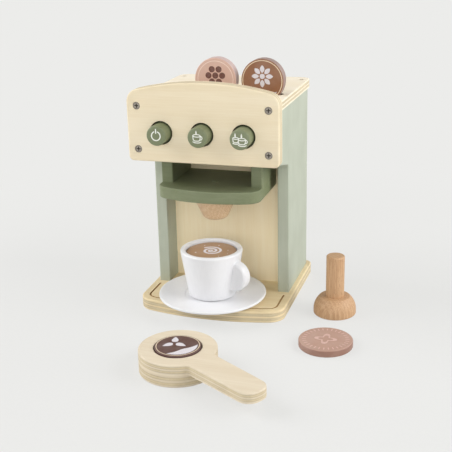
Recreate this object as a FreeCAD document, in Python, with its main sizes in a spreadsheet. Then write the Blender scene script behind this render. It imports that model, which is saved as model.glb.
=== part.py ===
import FreeCAD
import Part
import Sketcher

import math
import os
from types import SimpleNamespace

# A wooden toy coffee maker with its cup, saucer, portafilter, tamper, tokens and coffee discs.
# Frame: origin at the middle of the base plate's underside, X to the right as seen from the front,
# Y to the back, Z up. All sizes are in millimetres and degrees.

SIZES = {
    # boards
    "base_width": 158.0,
    "base_depth": 163.0,
    "base_thick": 12.5,
    "base_bow": 270.0,
    "base_front_corner": 18.0,
    "base_rear_corner": 9.0,
    "base_edge_round": 1.2,
    "line_inset": 8.5,
    "line_width": 2.0,
    "line_depth": 1.0,
    "line_stop": 8.5,
    "side_thick": 12.0,
    "side_spread": 148.0,
    "side_edge_round": 1.2,
    "leg_front_inset": 62.5,
    "leg_depth": 91.0,
    "notch_rise": 17.2,
    "head_overhang": 45.4,
    "head_slope_rise": 10.7,
    "head_inner_round": 6.0,
    "head_rise": 40.5,
    "partition_setback": 26.7,
    "partition_thick": 9.5,
    "top_thick": 9.5,
    "top_overhang": 1.5,
    "top_rear_overhang": 11.0,
    "top_rear_corner": 11.0,
    "top_edge_round": 1.0,
    # fascia
    "fascia_width": 156.0,
    "fascia_thick": 12.0,
    "fascia_drop": 52.5,
    "fascia_rise": 28.0,
    "fascia_arch": 290.0,
    "fascia_shoulder": 13.0,
    "fascia_low_corner": 5.0,
    "fascia_edge_round": 1.5,
    # buttons
    "button_spacing": 42.5,
    "button_rise": 17.9,
    "button_radius": 10.1,
    "button_gap": 1.9,
    "button_reach": 14.0,
    "button_edge_round": 1.5,
    "flange_radius": 15.5,
    "flange_thick": 3.0,
    "flange_edge_round": 0.6,
    "stem_radius": 4.0,
    "stem_tail": 4.0,
    "stem_gap": 0.3,
    "board_thick": 6.0,
    "board_height": 35.0,
    "spring_room": 11.4,
    "spring_radius": 6.0,
    "wire_radius": 0.4,
    "spring_turns": 4.5,
    "spring_seat_gap": 0.05,
    # cradle
    "cradle_half": 54.0,
    "wall_thick": 12.0,
    "wall_edge_round": 1.2,
    "wall_height": 40.4,
    "wall_reach": 57.7,
    "shelf_thick": 12.5,
    "shelf_top": 137.6,
    "shelf_front": 76.3,
    "shelf_bow": 130.0,
    "shelf_corner": 14.0,
    "shelf_edge_round": 1.0,
    "dowel_radius": 3.0,
    "dowel_length": 16.0,
    "dowel_sink": 8.0,
    "dowel_front_inset": 12.0,
    "dowel_rear_inset": 24.0,
    # spout
    "spout_setting": 38.5,
    "spout_top_radius": 24.6,
    "spout_low_radius": 11.8,
    "spout_length": 26.4,
    "spout_round": 7.0,
    # fasteners
    "bore_gap": 0.1,
    "head_gap": 0.25,
    "socket_span": 4.4,
    "socket_width": 1.1,
    "socket_depth": 1.2,
    "wood_screw_head": 3.6,
    "wood_screw_head_thick": 2.2,
    "wood_screw_sink": 0.4,
    "wood_screw_shank": 1.75,
    "fascia_screw_length": 30.0,
    "fascia_screw_spread": 67.4,
    "fascia_screw_drop": 40.1,
    "fascia_screw_rise": 3.7,
    "top_screw_head": 3.4,
    "top_screw_sink": 1.2,
    "top_screw_length": 28.0,
    "top_screw_inset": 5.0,
    "base_screw_length": 32.0,
    "base_screw_sink": 0.8,
    "base_screw_inset": 16.0,
    "cradle_screw_length": 28.0,
    "cradle_screw_inset": 13.0,
    "spout_screw_head": 2.8,
    "spout_screw_head_thick": 1.8,
    "spout_screw_sink": 3.0,
    "spout_screw_shank": 1.5,
    "spout_screw_length": 24.0,
    # tokens
    "token_radius": 21.8,
    "token_thick": 11.5,
    "token_edge_round": 1.0,
    "slot_spacing": 48.9,
    "slot_setback": 42.3,
    "slot_length": 40.5,
    "slot_gap": 0.5,
    "slot_depth": 8.0,
    "token_seat_gap": 0.1,
    # cup, saucer and coffee discs
    "cup_offset": -1.0,
    "cup_setting": 53.0,
    "saucer_radius": 56.8,
    "saucer_foot": 33.0,
    "saucer_floor": 6.0,
    "saucer_rise": 8.7,
    "saucer_rim": 2.6,
    "saucer_rim_round": 1.1,
    "well_radius": 30.0,
    "well_depth": 0.8,
    "cup_height": 51.0,
    "cup_rim_radius": 33.0,
    "cup_low_radius": 24.9,
    "cup_low_round": 3.0,
    "cup_rim_round": 2.0,
    "disc_radius": 26.5,
    "disc_thick": 7.0,
    "disc_edge_round": 1.2,
    "disc_gap": 0.7,
    "disc_below_rim": 3.0,
    "cup_hollow_radius": 21.5,
    "cup_floor": 8.0,
    "lobe_angle": 15.0,
    "lobe_thick": 12.5,
    "lobe_reach": 44.2,
    "lobe_centre_height": 25.2,
    "lobe_radius": 16.1,
    "lobe_edge_round": 3.0,
    # portafilter
    "paddle_x": 9.0,
    "paddle_y": -189.8,
    "paddle_angle": 32.0,
    "paddle_radius": 36.9,
    "paddle_thick": 10.0,
    "paddle_under": 12.5,
    "paddle_handle_reach": 111.2,
    "paddle_neck_width": 31.0,
    "paddle_end_width": 27.5,
    "paddle_neck_round": 6.0,
    "paddle_end_round": 12.0,
    "paddle_edge_round": 1.4,
    "recess_gap": 1.1,
    # tamper
    "tamper_x": 126.2,
    "tamper_y": -29.8,
    "tamper_radius": 22.2,
    "tamper_band": 4.8,
    "tamper_dome": 14.5,
    "tamper_dome_arc": 19.5,
    "tamper_top_radius": 15.5,
    "tamper_shoulder_round": 2.0,
    "tamper_handle_radius": 9.5,
    "tamper_height": 64.0,
    "tamper_edge_round": 1.5,
    "tamper_tenon_radius": 5.0,
    "tamper_tenon_length": 10.0,
    # loose coffee disc
    "loose_disc_x": 131.7,
    "loose_disc_y": -108.8,
}


class Size:
    """A length together with the sheet expression that gives it."""

    def __init__(self, value, text):
        self.value = value
        self.text = text

    def __float__(self):
        return float(self.value)

    def __neg__(self):
        return Size(-self.value, f"(-{self.text})")

    def __add__(self, other):
        return joined(self, "+", other, float(self) + float(other))

    def __radd__(self, other):
        return joined(other, "+", self, float(other) + float(self))

    def __sub__(self, other):
        return joined(self, "-", other, float(self) - float(other))

    def __rsub__(self, other):
        return joined(other, "-", self, float(other) - float(self))

    def __mul__(self, other):
        return joined(self, "*", other, float(self) * float(other))

    def __rmul__(self, other):
        return joined(other, "*", self, float(other) * float(self))

    def __truediv__(self, other):
        return joined(self, "/", other, float(self) / float(other))


def joined(left, sign, right, value):
    words = [item.text if isinstance(item, Size) else f"{float(item)}" for item in (left, right)]
    return Size(value, f"({words[0]} {sign} {words[1]})")


def root(length):
    return Size(math.sqrt(float(length)), f"sqrt({length.text})")


doc = FreeCAD.newDocument("ToyCoffeeMaker")
sheet = doc.addObject("Spreadsheet::Sheet", "Sizes")
for row, (alias, value) in enumerate(SIZES.items(), 1):
    sheet.set(f"A{row}", alias)
    sheet.set(f"B{row}", str(value))
    sheet.setAlias(f"B{row}", alias)
doc.recompute()

S = SimpleNamespace(**{alias: Size(value, f"Sizes.{alias}") for alias, value in SIZES.items()})

NEAR = 1e-4
UP = FreeCAD.Vector(0, 0, 1)
DOWN = FreeCAD.Vector(0, 0, -1)
RIGHT = FreeCAD.Vector(1, 0, 0)
LEFT = FreeCAD.Vector(-1, 0, 0)

nodes = {}


# Helpers that make and bind the document's objects

def bind(item, prop, length):
    item.setExpression(prop, length.text)


def place(item, x=0, y=0, z=0, axis=UP, angle=0):
    """Puts an object at a place whose coordinates and turn follow the sheet."""
    spot = FreeCAD.Vector(float(x), float(y), float(z))
    item.Placement = FreeCAD.Placement(spot, FreeCAD.Rotation(axis, float(angle)))
    for prop, length in (("Base.x", x), ("Base.y", y), ("Base.z", z), ("Rotation.Angle", angle)):
        if isinstance(length, Size):
            bind(item, f"Placement.{prop}", length)


def new_body(name, node=True):
    body = doc.addObject("PartDesign::Body", name)
    body.Label = name
    if node:
        nodes[name] = body
    return body


def new_sketch(body, role, height=0):
    """A sketch on one of the body's own origin planes, moved along the plane's normal."""
    plane = next(item for item in body.Origin.OriginFeatures if item.Role == role)
    sketch = body.newObject("Sketcher::SketchObject", f"{body.Name}_sketch")
    sketch.AttachmentSupport = (plane, [""])
    sketch.MapMode = "FlatFace"
    sketch.AttachmentOffset = FreeCAD.Placement(FreeCAD.Vector(0, 0, float(height)), FreeCAD.Rotation())
    if isinstance(height, Size):
        bind(sketch, "AttachmentOffset.Base.z", height)
    return sketch


def fix(sketch, curve, end, x, y):
    """Fixes one point of a curve by its two coordinates."""
    for kind, length, axis in (("DistanceX", x, -2), ("DistanceY", y, -1)):
        if isinstance(length, Size):
            number = sketch.addConstraint(Sketcher.Constraint(kind, curve, end, float(length)))
            bind(sketch, f"Constraints[{number}]", length)
        else:
            sketch.addConstraint(Sketcher.Constraint("PointOnObject", curve, end, axis))


def outline(sketch, points):
    """A closed counterclockwise outline. A point with a third value starts an arc of that radius:
    outward when the radius is positive, inward when it is negative."""
    first = sketch.GeometryCount
    ends = []
    for this, after in zip(points, points[1:] + points[:1]):
        start = FreeCAD.Vector(float(this[0]), float(this[1]), 0)
        stop = FreeCAD.Vector(float(after[0]), float(after[1]), 0)
        if len(this) == 2:
            sketch.addGeometry(Part.LineSegment(start, stop))
            ends.append((1, 2))
            continue
        radius = float(this[2])
        chord = stop - start
        inward = FreeCAD.Vector(-chord.y, chord.x, 0).normalize() * math.copysign(1, radius)
        centre = (start + stop) / 2 + inward * math.sqrt(radius ** 2 - (chord.Length / 2) ** 2)
        begin, finish = (start, stop) if radius > 0 else (stop, start)
        angles = [math.atan2(spot.y - centre.y, spot.x - centre.x) for spot in (begin, finish)]
        sketch.addGeometry(Part.ArcOfCircle(Part.Circle(centre, UP, abs(radius)), *angles))
        ends.append((1, 2) if radius > 0 else (2, 1))
    for place_in_row, this in enumerate(points):
        curve = first + place_in_row
        following = (place_in_row + 1) % len(points)
        sketch.addConstraint(Sketcher.Constraint(
            "Coincident", curve, ends[place_in_row][1], first + following, ends[following][0]))
        fix(sketch, curve, ends[place_in_row][0], this[0], this[1])
        if len(this) == 3:
            radius = this[2] if float(this[2]) > 0 else -this[2]
            number = sketch.addConstraint(Sketcher.Constraint("Radius", curve, float(radius)))
            bind(sketch, f"Constraints[{number}]", radius)


def circles(sketch, spots, radius):
    for x, y in spots:
        middle = FreeCAD.Vector(float(x), float(y), 0)
        curve = sketch.addGeometry(Part.Circle(middle, UP, float(radius)))
        fix(sketch, curve, 3, x, y)
        number = sketch.addConstraint(Sketcher.Constraint("Radius", curve, float(radius)))
        bind(sketch, f"Constraints[{number}]", radius)


def box_points(left, low, right, high):
    return [(left, low), (right, low), (right, high), (left, high)]


def extrude(body, sketch, length, kind="Pad", reverse=False, both=False):
    """A pad or pocket of a sketch. A pocket that removes nothing is an error."""
    doc.recompute()
    before = body.Shape.Volume if kind == "Pocket" else None
    feature = body.newObject(f"PartDesign::{kind}", f"{body.Name}_{kind.lower()}")
    feature.Profile = sketch
    feature.Length = float(length)
    bind(feature, "Length", length)
    feature.Reversed = reverse
    if both:
        feature.SideType = "Symmetric"
    doc.recompute()
    if before is not None and body.Shape.Volume > before - NEAR:
        raise ValueError(f"{feature.Name} cuts nothing")
    return feature


def pad(body, points, length, role="XY_Plane", height=0, reverse=False, both=False):
    sketch = new_sketch(body, role, height)
    outline(sketch, points)
    return extrude(body, sketch, length, "Pad", reverse, both)


def pocket(body, points, depth, role="XY_Plane", height=0, reverse=False):
    sketch = new_sketch(body, role, height)
    outline(sketch, points)
    return extrude(body, sketch, depth, "Pocket", reverse)


def bores(body, spots, radius, depth, role="XY_Plane", height=0, reverse=False):
    sketch = new_sketch(body, role, height)
    circles(sketch, spots, radius)
    return extrude(body, sketch, depth, "Pocket", reverse)


def turned(body, points):
    """A solid of revolution about the body's Z axis; points are radius and height."""
    sketch = new_sketch(body, "XZ_Plane")
    outline(sketch, points)
    feature = body.newObject("PartDesign::Revolution", f"{body.Name}_turned")
    feature.Profile = sketch
    feature.ReferenceAxis = (sketch, ["V_Axis"])
    feature.Angle = 360
    doc.recompute()
    return feature


def round_edges(body, radius, chosen):
    """Rounds the edges of the body's last feature for which the test holds."""
    doc.recompute()
    tip = body.Tip
    names = [f"Edge{number}" for number, edge in enumerate(tip.Shape.Edges, 1) if chosen(edge)]
    if not names:
        raise ValueError(f"{body.Name} has no edge to round")
    fillet = body.newObject("PartDesign::Fillet", f"{body.Name}_fillet")
    fillet.Base = (tip, names)
    fillet.Radius = float(radius)
    bind(fillet, "Radius", radius)
    doc.recompute()


# Tests that choose edges

def same(one, other):
    return abs(float(one) - float(other)) < NEAR


def along(edge, axis):
    """True for a straight edge parallel to the axis."""
    if edge.Curve.TypeId != "Part::GeomLine":
        return False
    return abs(edge.tangentAt(edge.FirstParameter).dot(axis)) > 1 - NEAR


def level(edge, height):
    """True for an edge that lies in the horizontal plane at that height."""
    return same(edge.BoundBox.ZMin, height) and same(edge.BoundBox.ZMax, height)


def upright_plane(edge, depth):
    """True for an edge that lies in the plane Y = depth."""
    return same(edge.BoundBox.YMin, depth) and same(edge.BoundBox.YMax, depth)


def ring(edge, radius, height):
    """True for a level circle of that radius at that height."""
    if edge.Curve.TypeId != "Part::GeomCircle":
        return False
    return same(edge.Curve.Radius, radius) and level(edge, height)


# Places shared by several pieces

FRONT = -S.base_depth / 2
LEG_FRONT = FRONT + S.leg_front_inset
LEG_REAR = LEG_FRONT + S.leg_depth
HEAD_FRONT = LEG_FRONT - S.head_overhang
INNER = S.side_spread / 2 - S.side_thick
SIDE_MIDDLE = INNER + S.side_thick / 2
PARTITION_FRONT = LEG_FRONT + S.partition_setback
CRADLE_FRONT = PARTITION_FRONT - S.wall_reach
SHELF_LOW = S.shelf_top - S.shelf_thick
WALL_TOP = S.shelf_top + S.wall_height
BUTTON_HEIGHT = WALL_TOP + S.button_rise
SIDE_TOP = WALL_TOP + S.head_rise
TOP_SURFACE = SIDE_TOP + S.top_thick
FASCIA_LOW = SIDE_TOP - S.fascia_drop
FASCIA_TOP = SIDE_TOP + S.fascia_rise
FASCIA_SCREW_LOW = SIDE_TOP - S.fascia_screw_drop
FASCIA_SCREW_HIGH = SIDE_TOP + S.fascia_screw_rise
BOARD_FRONT = HEAD_FRONT + S.flange_thick + S.spring_room
WALL_MIDDLE = S.cradle_half - S.wall_thick / 2
SIDES = (("left", -1), ("right", 1))
BASE_SPOTS_Y = (LEG_FRONT + S.base_screw_inset, LEG_REAR - S.base_screw_inset)
PARTITION_MIDDLE = PARTITION_FRONT + S.partition_thick / 2
PARTITION_SPOTS_X = (-INNER / 2, INNER / 2)
TOP_SCREW_Y = LEG_REAR - S.top_screw_inset
CRADLE_SPOTS_Z = (S.cradle_screw_inset, S.wall_height - S.cradle_screw_inset)
DOWEL_SPOTS_Y = (S.dowel_front_inset, S.wall_reach - S.dowel_rear_inset)


def bowed_front(half, front, bow, corner):
    """Points from left to right along a bowed front edge whose rounded corners meet it smoothly."""
    middle = front + bow
    across = half - corner
    corner_y = middle - root((bow - corner) * (bow - corner) - across * across)
    reach = bow / (bow - corner)
    touch_x = across * reach
    touch_y = middle - (middle - corner_y) * reach
    return [(-half, corner_y, corner), (-touch_x, touch_y, bow), (touch_x, touch_y, corner),
            (half, corner_y)]


def backward(points):
    """The same line from its other end, its arcs turned inward."""
    turned_round = [point[:2] for point in reversed(points)]
    radii = [-point[2] for point in reversed(points[:-1])]
    return [point + (radius,) for point, radius in zip(turned_round, radii)] + turned_round[-1:]


# Base plate: a bowed front, rounded corners and a thin routed line that stops short of the legs

def base_plate():
    body = new_body("base_plate")
    half = S.base_width / 2
    rear = S.base_depth / 2
    front_line = bowed_front(half, FRONT, S.base_bow, S.base_front_corner)
    pad(body, front_line + [(half, rear), (-half, rear)], S.base_thick)

    def at_rear(edge):
        return along(edge, UP) and same(edge.BoundBox.YMax, rear)

    round_edges(body, S.base_rear_corner, at_rear)
    round_edges(body, S.base_edge_round, lambda edge: level(edge, S.base_thick) or level(edge, 0))
    sides = []
    for offset in (S.line_inset - S.line_width / 2, S.line_inset + S.line_width / 2):
        sides.append(bowed_front(half - offset, FRONT + offset, S.base_bow - offset,
                                 S.base_front_corner - offset))
    outer, inner = sides
    end = LEG_FRONT - S.line_stop
    cap = S.line_width / 2
    aside = half - S.line_inset
    line = outer + [(aside + cap, end, cap), (aside, end + cap, cap), (aside - cap, end)] + backward(inner)
    line += [(cap - aside, end, cap), (-aside, end + cap, cap), (-aside - cap, end)]
    pocket(body, line, S.line_depth, height=S.base_thick)
    spots = [(sign * SIDE_MIDDLE, y) for _, sign in SIDES for y in BASE_SPOTS_Y]
    spots += [(x, PARTITION_MIDDLE) for x in PARTITION_SPOTS_X]
    bores(body, spots, S.wood_screw_shank + S.bore_gap, S.base_thick, reverse=True)
    bores(body, spots, S.wood_screw_head + S.head_gap, S.base_screw_sink + S.wood_screw_head_thick,
          reverse=True)


# Side panels: a leg and, above it, a wider head whose underside rises to the front

def side_panel(name, sign):
    body = new_body(name)
    left = INNER if sign > 0 else -INNER - S.side_thick
    notch = S.shelf_top + S.notch_rise
    points = [(LEG_FRONT, S.base_thick), (LEG_REAR, S.base_thick), (LEG_REAR, SIDE_TOP),
              (HEAD_FRONT, SIDE_TOP), (HEAD_FRONT, notch + S.head_slope_rise), (LEG_FRONT, notch)]
    pad(body, points, S.side_thick, "YZ_Plane")
    place(body, left)

    def in_notch(edge):
        return along(edge, RIGHT) and upright_plane(edge, LEG_FRONT) and level(edge, notch)

    def on_rim(edge):
        box = edge.BoundBox
        return (same(box.XMin, box.XMax) and not level(edge, S.base_thick) and not level(edge, SIDE_TOP)
                and not upright_plane(edge, HEAD_FRONT))

    round_edges(body, S.head_inner_round, in_notch)
    round_edges(body, S.side_edge_round, on_rim)
    middle = S.side_thick / 2
    shank = S.wood_screw_shank + S.bore_gap
    bores(body, [(middle, y) for y in BASE_SPOTS_Y], shank,
          S.base_screw_sink + S.base_screw_length - S.base_thick + S.bore_gap,
          height=S.base_thick, reverse=True)
    bores(body, [(middle, TOP_SCREW_Y)], shank,
          S.top_screw_sink + S.top_screw_length - S.top_thick + S.bore_gap, height=SIDE_TOP)
    bores(body, [(sign * S.fascia_screw_spread - left, FASCIA_SCREW_LOW)], shank,
          S.wood_screw_sink + S.fascia_screw_length - S.fascia_thick + S.bore_gap,
          "XZ_Plane", -HEAD_FRONT)


# Partition: stands between the side panels and carries the cradle

def partition_panel():
    body = new_body("partition_panel")
    pad(body, box_points(-INNER, 0, INNER, S.partition_thick), SIDE_TOP - S.base_thick)
    place(body, 0, PARTITION_FRONT, S.base_thick)
    shelf_height = S.shelf_top - S.base_thick
    spots = [(sign * WALL_MIDDLE, shelf_height + z) for _, sign in SIDES for z in CRADLE_SPOTS_Z]
    rear = -S.partition_thick
    bores(body, spots, S.wood_screw_shank + S.bore_gap, S.partition_thick, "XZ_Plane", rear, reverse=True)
    bores(body, spots, S.wood_screw_head + S.head_gap, S.wood_screw_sink + S.wood_screw_head_thick,
          "XZ_Plane", rear, reverse=True)
    bores(body, [(x, S.partition_thick / 2) for x in PARTITION_SPOTS_X], S.wood_screw_shank + S.bore_gap,
          S.base_screw_sink + S.base_screw_length - S.base_thick + S.bore_gap, reverse=True)


# Top panel: three slots for tokens, and sunk screws at its rear corners

def slot_points(x, y, half_length, half_width):
    """A slot with round ends, each end made of two quarter arcs."""
    straight = half_length - half_width
    return [(x - straight, y - half_width), (x + straight, y - half_width, half_width),
            (x + half_length, y, half_width), (x + straight, y + half_width),
            (x - straight, y + half_width, half_width), (x - half_length, y, half_width)]


def top_panel():
    body = new_body("top_panel")
    half = S.side_spread / 2 + S.top_overhang
    pad(body, box_points(-half, HEAD_FRONT, half, LEG_REAR + S.top_rear_overhang), S.top_thick)
    place(body, 0, 0, SIDE_TOP)

    def upper_rim(edge):
        return level(edge, S.top_thick) and not upright_plane(edge, HEAD_FRONT)

    round_edges(body, S.top_rear_corner, lambda edge: along(edge, UP) and edge.BoundBox.YMin > 0)
    round_edges(body, S.top_edge_round, upper_rim)
    slot_y = HEAD_FRONT + S.slot_setback
    for number in (-1, 0, 1):
        middle = number * S.slot_spacing
        points = slot_points(middle, slot_y, S.slot_length / 2, S.token_thick / 2 + S.slot_gap)
        pocket(body, points, S.slot_depth, height=S.top_thick)
    spots = [(sign * SIDE_MIDDLE, TOP_SCREW_Y) for _, sign in SIDES]
    shank = S.wood_screw_shank + S.bore_gap
    bores(body, spots, shank, S.top_thick, height=S.top_thick)
    bores(body, spots, S.top_screw_head + S.head_gap, S.top_screw_sink + S.wood_screw_head_thick,
          height=S.top_thick)
    spots = [(sign * S.fascia_screw_spread, S.fascia_screw_rise) for _, sign in SIDES]
    depth = S.wood_screw_sink + S.fascia_screw_length - S.fascia_thick + S.bore_gap
    bores(body, spots, shank, depth, "XZ_Plane", -HEAD_FRONT)


# Fascia: an arched board with three button holes and four counterbored screws

def fascia_panel():
    body = new_body("fascia_panel")
    half = S.fascia_width / 2
    spring_line = FASCIA_TOP - S.fascia_arch + root(S.fascia_arch * S.fascia_arch - half * half)
    points = [(-half, FASCIA_LOW), (half, FASCIA_LOW), (half, spring_line, S.fascia_arch),
              (-half, spring_line)]
    pad(body, points, S.fascia_thick, "XZ_Plane")
    place(body, 0, HEAD_FRONT)
    depthwise = FreeCAD.Vector(0, 1, 0)

    def low_corner(edge):
        return along(edge, depthwise) and level(edge, FASCIA_LOW)

    def shoulder(edge):
        return along(edge, depthwise) and not level(edge, FASCIA_LOW)

    round_edges(body, S.fascia_shoulder, shoulder)
    round_edges(body, S.fascia_low_corner, low_corner)
    round_edges(body, S.fascia_edge_round, lambda edge: upright_plane(edge, -S.fascia_thick))
    buttons = [(number * S.button_spacing, BUTTON_HEIGHT) for number in (-1, 0, 1)]
    front = S.fascia_thick
    bores(body, buttons, S.button_radius + S.button_gap, S.fascia_thick, "XZ_Plane", front)
    screws = [(sign * S.fascia_screw_spread, z) for _, sign in SIDES
              for z in (FASCIA_SCREW_LOW, FASCIA_SCREW_HIGH)]
    bores(body, screws, S.wood_screw_shank + S.bore_gap, S.fascia_thick, "XZ_Plane", front)
    bores(body, screws, S.wood_screw_head + S.head_gap, S.wood_screw_sink + S.wood_screw_head_thick,
          "XZ_Plane", front)


# Buttons: one turned piece each, a cap in front, a flange behind the fascia and a stem in the board

def button(name, number):
    body = new_body(name)
    stem_end = -S.flange_thick - S.spring_room - S.board_thick - S.stem_tail
    front = S.fascia_thick + S.button_reach
    turned(body, [(0, stem_end), (S.stem_radius, stem_end), (S.stem_radius, -S.flange_thick),
                  (S.flange_radius, -S.flange_thick), (S.flange_radius, 0), (S.button_radius, 0),
                  (S.button_radius, front), (0, front)])
    round_edges(body, S.button_edge_round, lambda edge: ring(edge, S.button_radius, front))
    round_edges(body, S.flange_edge_round, lambda edge: ring(edge, S.flange_radius, -S.flange_thick)
                or ring(edge, S.stem_radius, stem_end))
    place(body, number * S.button_spacing, HEAD_FRONT, BUTTON_HEIGHT, RIGHT, 90)


def arc_to(start, heading, end):
    """The arc that leaves the start along the heading and reaches the end."""
    chord = end - start
    across = FreeCAD.Vector(chord).normalize()
    aside = heading - across * heading.dot(across)
    if aside.Length < NEAR:
        return Part.LineSegment(start, end).toShape()
    half_turn = heading.getAngle(chord) / 2
    rise = chord.Length / 2 * math.tan(half_turn)
    return Part.Arc(start, start + chord / 2 + aside.normalize() * rise, end).toShape()


def quarter_turn(start, heading, end, last_heading):
    """Two arcs that meet smoothly and join both ends along their headings."""
    gap = end - start
    both = heading + last_heading
    spread = 2 * (1 - heading.dot(last_heading))
    along_both = gap.dot(both)
    arm = (math.sqrt(along_both ** 2 + spread * gap.dot(gap)) - along_both) / spread
    meeting = (start + heading * arm + end - last_heading * arm) / 2
    meeting_heading = (end - last_heading * arm - start - heading * arm).normalize()
    return [arc_to(start, heading, meeting), arc_to(meeting, meeting_heading, end)]


def button_spring(name, number):
    """A coil round the button's stem, between the flange and the board."""
    quarters = int(4 * float(S.spring_turns))
    radius = float(S.spring_radius)
    wire = float(S.wire_radius)
    seat = wire + float(S.spring_seat_gap)
    low = -float(S.flange_thick) - float(S.spring_room) + seat
    rise = (float(S.spring_room) - 2 * seat) / quarters
    spots = []
    headings = []
    for step in range(quarters + 1):
        angle = step * math.pi / 2
        x = radius * math.cos(angle)
        y = radius * math.sin(angle)
        spots.append(FreeCAD.Vector(x, y, low + rise * step))
        headings.append(FreeCAD.Vector(-y, x, rise * 2 / math.pi).normalize())
    edges = []
    for step in range(quarters):
        edges += quarter_turn(spots[step], headings[step], spots[step + 1], headings[step + 1])
    section = Part.Wire([Part.Circle(spots[0], headings[0], wire).toShape()])
    coil = doc.addObject("Part::Feature", name)
    coil.Shape = Part.Wire(edges).makePipeShell([section], True, False)
    coil.Label = name
    nodes[name] = coil
    place(coil, number * S.button_spacing, HEAD_FRONT, BUTTON_HEIGHT, RIGHT, 90)
    least_gap = 4 * rise - 2 * wire
    print(f"{name}: least gap between turns {least_gap:.2f} mm")


# Button board: guides the stems and carries the springs

def button_board():
    body = new_body("button_board")
    pad(body, box_points(-INNER, 0, INNER, S.board_thick), S.board_height)
    place(body, 0, BOARD_FRONT, WALL_TOP)
    spots = [(number * S.button_spacing, S.button_rise) for number in (-1, 0, 1)]
    bores(body, spots, S.stem_radius + S.stem_gap, S.board_thick, "XZ_Plane")


# Cradle: two walls and a shelf with a bowed front

def cradle_wall(name, sign):
    body = new_body(name)
    left = WALL_MIDDLE * sign - S.wall_thick / 2
    pad(body, box_points(0, 0, S.wall_thick, S.wall_reach), S.wall_height)
    round_edges(body, S.wall_edge_round, lambda edge: along(edge, UP) and upright_plane(edge, 0))
    place(body, left, CRADLE_FRONT, S.shelf_top)
    middle = S.wall_thick / 2
    bores(body, [(middle, y) for y in DOWEL_SPOTS_Y], S.dowel_radius + S.bore_gap,
          S.dowel_length - S.dowel_sink + S.bore_gap, reverse=True)
    bores(body, [(middle, z) for z in CRADLE_SPOTS_Z], S.wood_screw_shank + S.bore_gap,
          S.wood_screw_sink + S.cradle_screw_length - S.partition_thick + S.bore_gap,
          "XZ_Plane", -S.wall_reach, reverse=True)


def cradle_shelf():
    body = new_body("cradle_shelf")
    half = S.cradle_half
    front_line = bowed_front(half, -S.shelf_front, S.shelf_bow, S.shelf_corner)
    pad(body, front_line + [(half, PARTITION_FRONT), (-half, PARTITION_FRONT)], S.shelf_thick)
    place(body, 0, 0, SHELF_LOW)

    def curved(edge):
        return edge.Curve.TypeId == "Part::GeomCircle" and (level(edge, 0) or level(edge, S.shelf_thick))

    round_edges(body, S.shelf_edge_round, curved)
    spots = [(sign * WALL_MIDDLE, CRADLE_FRONT + y) for _, sign in SIDES for y in DOWEL_SPOTS_Y]
    bores(body, spots, S.dowel_radius + S.bore_gap, S.dowel_sink + S.bore_gap, height=S.shelf_thick)
    spot = [(0, -S.spout_setting)]
    bores(body, spot, S.spout_screw_shank + S.bore_gap, S.shelf_thick, height=S.shelf_thick)
    bores(body, spot, S.spout_screw_head + S.head_gap, S.spout_screw_sink + S.spout_screw_head_thick,
          height=S.shelf_thick)


def dowel(name, x, y):
    body = new_body(name, node=False)
    turned(body, [(0, 0), (S.dowel_radius, 0), (S.dowel_radius, S.dowel_length), (0, S.dowel_length)])
    place(body, x, y, S.shelf_top - S.dowel_sink)
    return body


def spout_cone():
    body = new_body("spout_cone")
    turned(body, [(0, -S.spout_length), (S.spout_low_radius, -S.spout_length), (S.spout_top_radius, 0),
                  (0, 0)])
    round_edges(body, S.spout_round, lambda edge: ring(edge, S.spout_low_radius, -S.spout_length))
    bores(body, [(0, 0)], S.spout_screw_shank + S.bore_gap,
          S.spout_screw_sink + S.spout_screw_length - S.shelf_thick + S.bore_gap)
    place(body, 0, -S.spout_setting, SHELF_LOW)


# Screws: a round head with a cross socket and a pointed shank; each body's Z axis leaves the head

def screw(name, sizes, x, y, z, axis=UP, angle=0):
    head, head_thick, shank, length = sizes
    body = new_body(name, node=False)
    turned(body, [(0, -length), (shank, -length + 2 * shank), (shank, -head_thick), (head, -head_thick),
                  (head, 0), (0, 0)])
    span = S.socket_span / 2
    arm = S.socket_width / 2
    cross = [(-span, -arm), (-arm, -arm), (-arm, -span), (arm, -span), (arm, -arm), (span, -arm),
             (span, arm), (arm, arm), (arm, span), (-arm, span), (-arm, arm), (-span, arm)]
    pocket(body, cross, S.socket_depth)
    place(body, x, y, z, axis, angle)
    return body


def group(name, members):
    """Identical small pieces under one name, each still its own solid."""
    together = doc.addObject("Part::Compound", name)
    together.Label = name
    together.Links = members
    nodes[name] = together


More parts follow.
